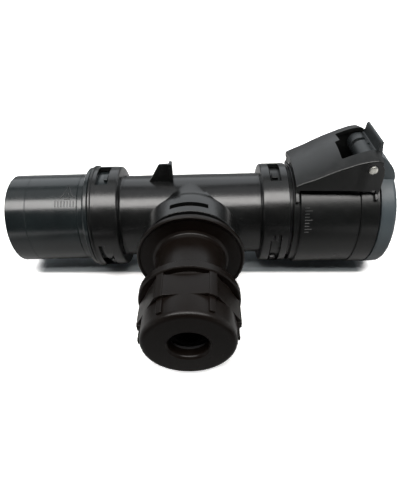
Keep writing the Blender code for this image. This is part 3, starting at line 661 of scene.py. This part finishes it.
def clamping_screw(label, angle, end, x):
    ob = turned(SCREW, corner=0.15, steps=2, segs=28)
    cut(ob, block((22.0, -3, -0.22), (23, 3, 0.22)))
    aim(ob, Vector((x, 0, 0)), outward(angle))
    node = '%s_screw_%s' % (end, label)
    place(ob, node + '_slotted', STEEL, 'tee', node)


def contacts():
    for label, angle in CONTACTS:
        contact_pin(label, angle)
        contact_tube(label, angle)
        link_wire(label, angle)
        clamping_screw(label, angle, 'plug', -CLAMP_X)
        clamping_screw(label, angle, 'coupler', CLAMP_X)


# ------------------------------------------------------------------ coupler end
COUPLER_RADIUS = 34.2
COUPLER_OUTER = [
    (51.6, 25.5), (51.6, 30.3), (64.1, 30.3), (64.1, 32.3), (64.5, 32.7), (67.0, 32.7),
    (67.3, 32.45), (67.7, 32.8), (68.3, 34.0, 0.6), (69.4, COUPLER_RADIUS, 1.0),
    (104.3, COUPLER_RADIUS), (104.6, 34.0), (104.9, 34.9, 0.4), (106.0, 35.0, 0.8),
    (115.9, 35.0), (116.2, 34.7), (116.2, 30.0), (115.6, 29.4), (72.0, 29.4), (72.0, 25.5)]
COUPLER_INSERT = [(113.5, 0), (113.5, 24.5), (113.0, 25.0), (49.3, 25.0), (49.3, 22.8),
                  (66, 22.8), (66, 0)]


def coupler_shell():
    ob = turned(COUPLER_OUTER, corner=0.18)
    join_nubs(ob, 'X', along=(51.9, 55.8), radii=(29.6, 32.4), middle=82, half=4.5,
              width=0.5, segments=3)
    place(ob, 'coupler_shell_moulding', SOCKET, 'coupler_shell',
          'coupler_sleeve')


def coupler_marks():
    """A scale of nine ticks, every third one longer."""
    middle, pitch = COUPLER_RADIUS * math.radians(26.5), 1.9
    ticks = []
    for k in range(-4, 5):
        arc = middle + pitch * k
        ticks.append([(70.6, arc), (73.2 if k % 3 else 75.0, arc)])
    place(relief(ticks, COUPLER_RADIUS, height=0.26), 'coupler_marks', MARKS, 'coupler_shell')


def coupler_insert():
    ob = turned(COUPLER_INSERT, corner=0.25, segs=96)
    insert_holes(ob, 60, 120, phase_radius=4.4, earth_radius=5.4)
    # keyway along the bottom
    cut(ob, sector('X', (74, 120), (23.0, 27), around(EARTH_ANGLE, 7.5), steps=4))
    place(ob, 'coupler_insert_moulding', INSERT, 'tee', 'coupler_insert')


# ------------------------------------------------------------------ hinge hood
HOOD_TABLE = (
    # x, height of the crown's side edge, half width, wall bottom
    (64.4, 34.0, 22.0, 31.2), (68.0, 35.7, 22.1, 31.2), (75.5, 38.8, 22.5, 31.2),
    (82.0, 42.0, 22.8, 31.2), (88.0, 44.7, 23.0, 31.2), (94.0, 47.0, 23.3, 31.1),
    (99.0, 48.8, 23.5, 31.0), (104.0, 50.1, 24.0, 30.9), (108.5, 50.4, 24.0, 31.0),
    (111.6, 49.2, 24.0, 31.4))
CROWN_RADIUS = 75.0
CROWN_STEPS = 26
HOOD_STEPS = 40
HOOD_WALL = 2.4
HOOD_EDGE = 0.7                    # rounding along the crown's side edges
# inner cheek behind the window, as (x, z)
INNER_CHEEK = [(76.0, 30.75), (104.1, 30.75), (104.2, 31.65), (110.9, 31.65), (110.9, 50.0),
               (104.0, 51.0), (94.0, 47.8), (82.0, 42.5), (76.0, 39.4)]
# two lips under it
LONG_LIP = [(76.5, 30.2), (104.8, 30.2), (104.8, 33.0), (76.5, 33.0)]
RIM_LIP = [(103.5, 31.09), (110.8, 31.09), (110.8, 34.0), (103.5, 34.0)]
# outer cheek at the right end of each side, as (x, z)
END_CHEEK = [(110.4, 47.0), (112.4, 46.8), (113.4, 45.0), (114.2, 41.0), (114.4, 34.0),
             (114.0, 28.2), (112.3, 28.2), (111.7, 31.2), (110.4, 31.6)]
# front side, then back: angles of the left foot and right foot, y of the end cheek
HOOD_SIDES = (((44.5, 56.0), (44.3, 54.0), (-23.75, -21.9)),
              ((124.0, 135.5), (126.0, 135.7), (21.9, 23.75)))


def smooth_row(table, x):
    """A smooth curve through the rows of a table, column 0 being x."""
    last = len(table) - 1
    i = next((i for i in range(last - 1) if x <= table[i + 1][0]), last - 1)
    rows = table[max(i - 1, 0)], table[i], table[i + 1], table[min(i + 2, last)]
    x0, x1, x2, x3 = (row[0] for row in rows)
    t = (x - x1) / (x2 - x1)
    out = []
    for before, start, end, after in list(zip(*rows))[1:]:
        slope_start = (end - before) / (x2 - x0) * (x2 - x1)
        slope_end = (after - start) / (x3 - x1) * (x2 - x1)
        out.append((2 * t ** 3 - 3 * t ** 2 + 1) * start + (t ** 3 - 2 * t ** 2 + t) * slope_start
                   + (-2 * t ** 3 + 3 * t ** 2) * end + (t ** 3 - t ** 2) * slope_end)
    return out


def hood_outline(side, half, bottom, inset):
    """(y, z) up the front wall, over the crown and down the back wall."""
    width, edge = half - inset, HOOD_EDGE

    def top(y):
        return side + (half * half - y * y) / (2 * CROWN_RADIUS) - inset
    wall = [(-width, bottom), (-width, top(width) - edge),
            (-width + 0.12 * edge, top(width) - 0.45 * edge),
            (-width + 0.45 * edge, top(width - 0.45 * edge) - 0.10 * edge)]
    crown = []
    for k in range(CROWN_STEPS + 1):
        y = (-width + edge) + 2 * (width - edge) * k / CROWN_STEPS
        crown.append((y, top(y)))
    return wall + crown + [(-y, z) for y, z in wall[::-1]]


def hood_vault():
    """The arched wall, open underneath and at both ends."""
    bm = bmesh.new()
    rings = []
    start, end = HOOD_TABLE[0][0], HOOD_TABLE[-1][0]
    for k in range(HOOD_STEPS + 1):
        x = start + (end - start) * k / HOOD_STEPS
        row = smooth_row(HOOD_TABLE, x)
        outline = hood_outline(*row, inset=0.0) + hood_outline(*row, inset=HOOD_WALL)[::-1]
        rings.append([bm.verts.new((x, y, z)) for y, z in outline])
    bridge(bm, rings)
    for ring in (rings[0], rings[-1]):
        count = len(ring)
        for k in range(count // 2 - 1):
            bm.faces.new((ring[k], ring[k + 1], ring[count - 2 - k], ring[count - 1 - k]))
    return to_object(bm)


def hinge_bore():
    return turned(rod(-30, 30, 2.8), axis='Y', segs=40, centre=HINGE)


def hood_shell():
    ob = hood_vault()
    # wall closing the left end, its bottom following the coupler shell
    seat = 33.2
    arc = [(seat * math.cos(math.radians(a)), seat * math.sin(math.radians(a)))
           for a in range(55, 130, 5)]
    end_wall = hood_outline(side=34.5, half=21.4, bottom=27.6, inset=0.9) + arc
    join(ob, prism(end_wall, 'X', (64.9, 67.0)), prism(INNER_CHEEK, 'Y', (15.6, 17.4)),
         prism(LONG_LIP, 'Y', (16.2, 17.3)), prism(RIM_LIP, 'Y', (16.2, 17.3)))
    for left_angles, right_angles, cheek_span in HOOD_SIDES:
        join(ob, soften(sector('X', (64.8, 66.9), (33.1, 35.3), left_angles, steps=8), 0.4),
             soften(prism(END_CHEEK, 'Y', cheek_span)),
             soften(sector('X', (112.2, 114.0), (35.5, 37.0), right_angles, steps=8), 0.35))
    # the window over the lid's arm, and its step to the left
    cut(ob, hinge_bore(),
        soften(block((93.0, -15.0, 36), (118, 15.0, 64)), 0.9, 4),
        soften(block((90.2, -15.0, 36), (95.0, 4.0, 64)), 0.9, 4))
    place(ob, 'hood_shell', HOOD, 'coupler_shell', 'hinge_hood')


# ------------------------------------------------------------------ lid and hinge
LID_OUTER = [
    (127.1, 0), (127.05, 20.0, 30.0), (126.9, 29.0, 6.0), (126.7, 35.1, 3.4),
    (117.0, 35.35, 0.1), (116.9, 35.35), (116.75, 35.0), (116.75, 32.0), (121.4, 31.6),
    (121.4, 0)]
LID_RECESS = [(110, 0), (110, 31.75), (121.25, 31.4), (121.25, 0)]
# arm from the hinge to the lid, as (x, z), closed by an arc round the hinge
LID_ARM = [
    (106.5, 50.4), (110.4, 50.9), (111.0, 56.4), (111.5, 57.2), (112.4, 57.25), (112.9, 56.7),
    (114.2, 47.8), (116.4, 46.4), (119.0, 44.5), (121.6, 42.0), (123.8, 39.2), (125.5, 36.2),
    (126.4, 33.4), (126.4, 30.0), (117.4, 30.0), (116.9, 35.6), (112.6, 39.0), (106.5, 39.6)]
KNUCKLE_RADIUS = 5.4
# scoops behind the arm's upright, either side of a middle rib
ARM_SCOOP = [(107.6, 50.7), (109.3, 50.0), (110.2, 51.4), (110.9, 60), (104, 60), (104, 50.9)]
HINGE_PIN = [(-25.05, 0), (-25.05, 1.7), (-24.7, 2.5), (24.7, 2.5), (25.05, 1.7), (25.05, 0)]


def lid_shell():
    ob = turned(LID_OUTER, corner=0.3, steps=4)
    turns = [math.radians(a) for a in range(-105, -266, -10)]
    arc = [(HINGE[0] + KNUCKLE_RADIUS * math.cos(turn), HINGE[2] + KNUCKLE_RADIUS * math.sin(turn))
           for turn in turns]
    join(ob, soften(prism(LID_ARM + arc, 'Y', (-13.6, 13.6)), 0.45, 3, angle=24))
    cut(ob, prism(ARM_SCOOP, 'Y', (-15, -1.6)), prism(ARM_SCOOP, 'Y', (1.6, 15)),
        soften(block((99, 3.0, 37), (109.0, 6.0, 52)), 0.4),
        turned(LID_RECESS), hinge_bore())
    place(ob, 'lid_shell', LID, 'lid', 'lid')


def hinge_pin():
    ob = turned(HINGE_PIN, corner=0.35, steps=4, axis='Y', segs=48, centre=HINGE)
    place(ob, 'hinge_pin_turned', NICKEL, 'coupler_shell', 'lid_hinge_pin')


def lid_spring():
    """A coil round the hinge pin."""
    wire_radius, coil_radius = 0.5, 3.45
    y_start, y_end = -18.2, -14.6
    turns, steps_per_turn = 3, 40
    steps = turns * steps_per_turn
    rings = []
    for k in range(steps + 1):
        turn = 2 * math.pi * k / steps_per_turn
        radial = Vector((math.cos(turn), 0, math.sin(turn)))
        y = y_start + (y_end - y_start) * k / steps
        centre = Vector((HINGE[0], y, HINGE[2])) + radial * coil_radius
        rings.append(circle(centre, radial, Vector((0, 1, 0)), wire_radius, count=14))
    place(loft(rings), 'lid_spring_coil', STEEL, 'coupler_shell', 'lid_spring')


# ------------------------------------------------------------------ branch
ADAPTOR = [
    (28.4, 24.6), (28.4, 27.7), (44.2, 27.7), (44.6, 28.4), (44.7, 32.3), (45.3, 32.8),
    (47.3, 32.8), (48.0, 32.1), (47.95, 31.3), (47.4, 30.6), (47.4, 23.0, 1.0),
    (48.4, 21.6, 1.5), (50.6, 21.0), (76.4, 20.9), (77.4, 20.1), (99.0, 20.1), (99.5, 19.6),
    (99.5, 17.5), (54.0, 17.5), (46.0, 22.0)]
CLAW_RING = [(80.0, 14.8), (80.0, 17.1), (99.9, 17.1), (99.9, 19.2), (101.4, 19.2),
             (102.2, 18.4), (102.2, 14.8)]
GLAND_SEAL = [(81.0, 11.6), (81.0, 14.4), (101.0, 14.4), (101.0, 11.6), (100.0, 10.9),
              (82.0, 10.9)]
NUT_OUTER = [
    (77.7, 0), (77.7, 27.8), (78.2, 28.2), (82.1, 28.2), (82.7, 27.6), (82.7, 24.5, 0.1),
    (84.1, 24.2), (84.3, 24.7), (98.2, 24.8), (103.0, 24.8, 0.1), (110.8, 24.7, 7.2),
    (110.8, 0)]
NUT_BORE = [
    (70, 0), (70, 20.7), (105, 20.7), (105, 10.2), (109.6, 10.3, 1.9), (110.9, 11.7),
    (115, 11.7), (115, 0)]
NUT_TURNS = [60 * k - 1.1 for k in range(6)]   # middles of the nut's flats
FLAT_DISTANCE = 24.75              # from the nut's axis to its flats
FLAT_HALF_ANGLE = 24.0


def gland_adaptor():
    ob = turned(ADAPTOR, corner=0.3, axis='Y')
    join_nubs(ob, 'Y', along=(30.4, 32.6), radii=(27.2, 28.7), middle=0, half=5,
              width=0.3, segments=2)
    place(ob, 'adaptor_moulding', BROWN, 'gland_adaptor',
          'gland_adaptor')


def gland_claw():
    ob = turned(CLAW_RING, corner=0.2, steps=2, axis='Y', segs=72)
    for k in range(6):
        cut(ob, sector('Y', (86.0, 104.0), (13.0, 21.0), around(60 * k + 30, 3), steps=2))
    place(ob, 'claw_moulding', CLAW, 'gland_adaptor', 'gland_claw')


def gland_seal():
    ob = turned(GLAND_SEAL, corner=0.4, axis='Y', segs=72)
    place(ob, 'gland_seal_rubber', RUBBER, 'gland_adaptor', 'gland_seal')


def slip_ring():
    ob = turned(band((102.6, 104.6), (11.4, 19.9)), corner=0.3, axis='Y', segs=72)
    place(ob, 'slip_ring_moulding', INSERT, 'slip_ring', 'gland_slip_ring')


def nut_shell():
    ob = turned(NUT_OUTER, corner=0.25, steps=8, axis='Y')
    hexagon = []
    for middle in NUT_TURNS:
        for offset in (-FLAT_HALF_ANGLE, FLAT_HALF_ANGLE):
            turn = math.radians(middle + offset)
            radius = FLAT_DISTANCE / math.cos(math.radians(FLAT_HALF_ANGLE))
            hexagon.append((radius * math.sin(turn), radius * math.cos(turn)))
    join(ob, soften(prism(hexagon, 'Y', (-84.2, -98.0)), 0.35, 3))
    # a wide block over each corner, with a slimmer rib in front of it
    for turn in NUT_TURNS:
        wide = sector('Y', (82.3, 98.4), (24.2, 27.45), (turn + 25.4, turn + 34.9), steps=5)
        slim = sector('Y', (97.0, 107.2), (23.2, 25.95), (turn + 26.4, turn + 33.8), steps=3)
        join(ob, soften(wide, 0.4, 3), soften(slim, 0.5, 4))
    cut(ob, turned(NUT_BORE, corner=0.2, steps=4, axis='Y'))
    place(ob, 'nut_moulding', BROWN, 'nut', 'gland_nut')


# ------------------------------------------------------------------ seals
# CAD piece, axis, stations, radii, body it rides on
SEALS = (
    ('plug_joint_seal', 'X', (-51.3, -49.3), (26.2, 30.3), 'tee'),
    ('coupler_joint_seal', 'X', (49.3, 51.3), (26.2, 30.3), 'tee'),
    ('branch_joint_seal', 'Y', (26.8, 28.1), (24.6, 27.9), 'tee'),
    ('coupler_face_seal', 'X', (72.3, 75.0), (25.5, 29.0), 'coupler_shell'),
    ('lid_gasket', 'X', (116.9, 120.9), (25.6, 31.0), 'lid'))


def seals():
    for node, axis, along, radii, body in SEALS:
        ob = turned(band(along, radii), corner=0.45, steps=4, axis=axis, segs=96)
        place(ob, node + '_rubber', RUBBER, body, node)


# ------------------------------------------------------------------ studio
def floor_paper():
    """Paper that the camera sees as white, with a painted shadow under the connector, while it
    bounces less light back up.
    Object coordinates start under the tee, with -Y towards the camera."""
    n = Material('floor_paper')
    paper = n.mix_colour(n.remap(n.noise(scale=9.0, detail=3.0)),
                         (1.30, 1.30, 1.30), (1.36, 1.36, 1.36))
    seen = n.add('LightPath').outputs['Is Camera Ray']
    place_on_floor = n.split(n.coord)
    x, y = place_on_floor['X'], place_on_floor['Y']

    # bounced light: less in front, more to the sides and in a patch before the gland
    bounce = n.remap(y, over=(-0.16, -0.07), to=(0.05, 0.34))
    aside = n.maths('ABSOLUTE', x)
    bounce = n.maths('MAXIMUM', bounce, n.remap(aside, over=(0.13, 0.22), to=(0.0, 0.7)))
    patch = n.maths('MULTIPLY', n.remap(aside, over=(0.04, 0.07), to=(0.15, 0.0)),
                    n.remap(y, over=(-0.24, -0.18)))
    bounce = n.maths('MAXIMUM', bounce, patch)

    # painted shadow: the paper is darkened under the connector, behind the line y = -0.026 x -
    # 0.0225
    front_line = n.maths('MULTIPLY_ADD', x, -0.026, -0.0225)
    depth = n.maths('SUBTRACT', y, front_line)
    under = n.maths('MULTIPLY', n.remap(depth, over=(-0.0014, 0.0012)),
                    n.remap(y, over=(0.006, 0.026), to=(1.0, 0.0)))
    ends = n.maths('MULTIPLY', n.remap(x, over=(-0.116, -0.108)),
                   n.remap(x, over=(0.116, 0.123), to=(1.0, 0.0)))
    under = n.maths('MULTIPLY', under, ends)
    # the painted shadow is paler to the left, and darkest along its front edge
    left = n.remap(x, over=(-0.06, 0.05), to=(1.0, 0.0))
    shadow = n.mix_colour(left, (0.52, 0.57, 0.60), (0.80, 0.86, 0.90))
    shadow = n.mix_colour(n.remap(depth, over=(0.0, 0.011), to=(1.0, 0.0)), shadow,
                          (0.22, 0.24, 0.25))
    paper = n.mix_colour(under, paper, shadow)
    colour = n.mix_colour(seen, n.mix_colour(bounce, (0.0, 0.0, 0.0), (1.0, 1.0, 1.0)), paper)

    # painted light seen only by the camera: a glow that lifts the far floor to white, and the
    # foreground too, where it lifts out the shadow under the gland's nut
    distance = n.vector_maths('LENGTH', n.coord)
    glow = n.maths('MAXIMUM', n.remap(distance, over=(0.17, 0.45)),
                   n.remap(y, over=(-0.107, -0.101), to=(0.9, 0.0)))
    glow = n.maths('MULTIPLY', glow, seen)
    return n.finish({'Base Color': colour, 'Emission Color': (1.0, 1.0, 1.0),
                     'Emission Strength': glow, 'Roughness': 0.85,
                     'Specular IOR Level': 0.0})


def floor():
    bm = bmesh.new()
    bmesh.ops.create_grid(bm, x_segments=2, y_segments=2, size=3.0)
    mesh = bpy.data.meshes.new('floor')
    bm.to_mesh(mesh)
    bm.free()
    ob = bpy.data.objects.new('floor', mesh)
    bpy.context.scene.collection.objects.link(ob)
    # the connector rests on its collars and on the branch disc, a little tipped
    ob.location = (TEE_X, 0, -0.0352)
    ob.rotation_euler = (math.radians(-1.9), math.radians(0.35), 0)
    mesh.materials.append(floor_paper())


def area(name, where, aim_at, size, power, colour):
    data = bpy.data.lights.new(name, 'AREA')
    data.shape = 'RECTANGLE'
    data.size, data.size_y = size
    data.energy = power
    data.color = colour
    ob = bpy.data.objects.new(name, data)
    bpy.context.scene.collection.objects.link(ob)
    ob.location = where
    ob.rotation_euler = (Vector(aim_at) - Vector(where)).to_track_quat('-Z', 'Y').to_euler()


def lights():
    area('key', where=(TEE_X, -0.27, 0.74), aim_at=(TEE_X, -0.01, 0.0), size=(1.3, 0.32),
         power=13.5, colour=(1.0, 0.985, 0.965))
    area('top', where=(TEE_X, 0.08, 0.80), aim_at=(TEE_X, 0.0, 0.0), size=(1.3, 0.50),
         power=1.3, colour=(0.95, 0.98, 1.0))
    area('back', where=(TEE_X, 0.75, 0.55), aim_at=(TEE_X, 0.0, 0.02), size=(1.4, 0.6),
         power=3.0, colour=(0.92, 0.96, 1.0))


def room():
    """A world that lights from the back and both sides, and is seen as white."""
    world = bpy.data.worlds.new('studio')
    bpy.context.scene.world = world
    world.use_nodes = True
    world.node_tree.nodes.clear()
    n = Nodes(world.node_tree, 'Generated')
    direction = n.split(n.coord)
    strength = n.remap(direction['Y'], over=(-0.35, 0.75), to=(0.02, 0.32))
    # right, then left: range of the direction's x, added strength
    for reach, gain in (((0.60, 0.90), 0.5), ((-0.60, -0.90), 0.35)):
        strength = n.maths('ADD', strength, n.remap(direction['X'], over=reach, to=(0.0, gain)))
    dim = n.add('Background', Color=(0.95, 0.98, 1.0), Strength=strength)
    white = n.add('Background', Color=(1, 1, 1), Strength=1.0)
    seen = n.add('LightPath').outputs['Is Camera Ray']
    mix = n.add('MixShader')
    n.feed_all(mix.inputs, (seen, dim.outputs[0], white.outputs[0]))
    n.add('OutputWorld', Surface=mix.outputs[0])


def view():
    settings = bpy.context.scene.view_settings
    settings.view_transform = 'Standard'
    settings.look = 'None'
    settings.exposure = 0.0


def camera():
    data = bpy.data.cameras.new('camera')
    ob = bpy.data.objects.new('camera', data)
    bpy.context.scene.collection.objects.link(ob)
    # pitch is downwards, yaw to the right of +Y, roll about the line of sight
    pitch, yaw, roll = [math.radians(a) for a in (44.213, -0.0155, -1.378)]
    right = Vector((math.cos(yaw), -math.sin(yaw), 0))
    ahead = Vector((math.sin(yaw) * math.cos(pitch), math.cos(yaw) * math.cos(pitch),
                    -math.sin(pitch)))
    up = right.cross(ahead)
    x_axis = right * math.cos(roll) + up * math.sin(roll)
    y_axis = up * math.cos(roll) - right * math.sin(roll)
    pose = Matrix((x_axis, y_axis, -ahead)).transposed().to_4x4()
    pose.translation = (0.011708 + TEE_X, -0.226708, 0.164513)
    ob.matrix_world = pose
    data.sensor_fit = 'AUTO'
    data.sensor_width = 36.0
    data.lens = 28.701072
    data.shift_x = -0.0207
    data.shift_y = 0.0428
    data.clip_start = 0.01
    bpy.context.scene.camera = ob


for build in (tee_shell, tee_pips, plug_shell, plug_marks, plug_insert, contacts,
              coupler_shell, coupler_marks, coupler_insert, hood_shell, lid_shell, hinge_pin,
              lid_spring, gland_adaptor, gland_claw, gland_seal, slip_ring, nut_shell, seals,
              floor, lights, room, view, camera):
    build()
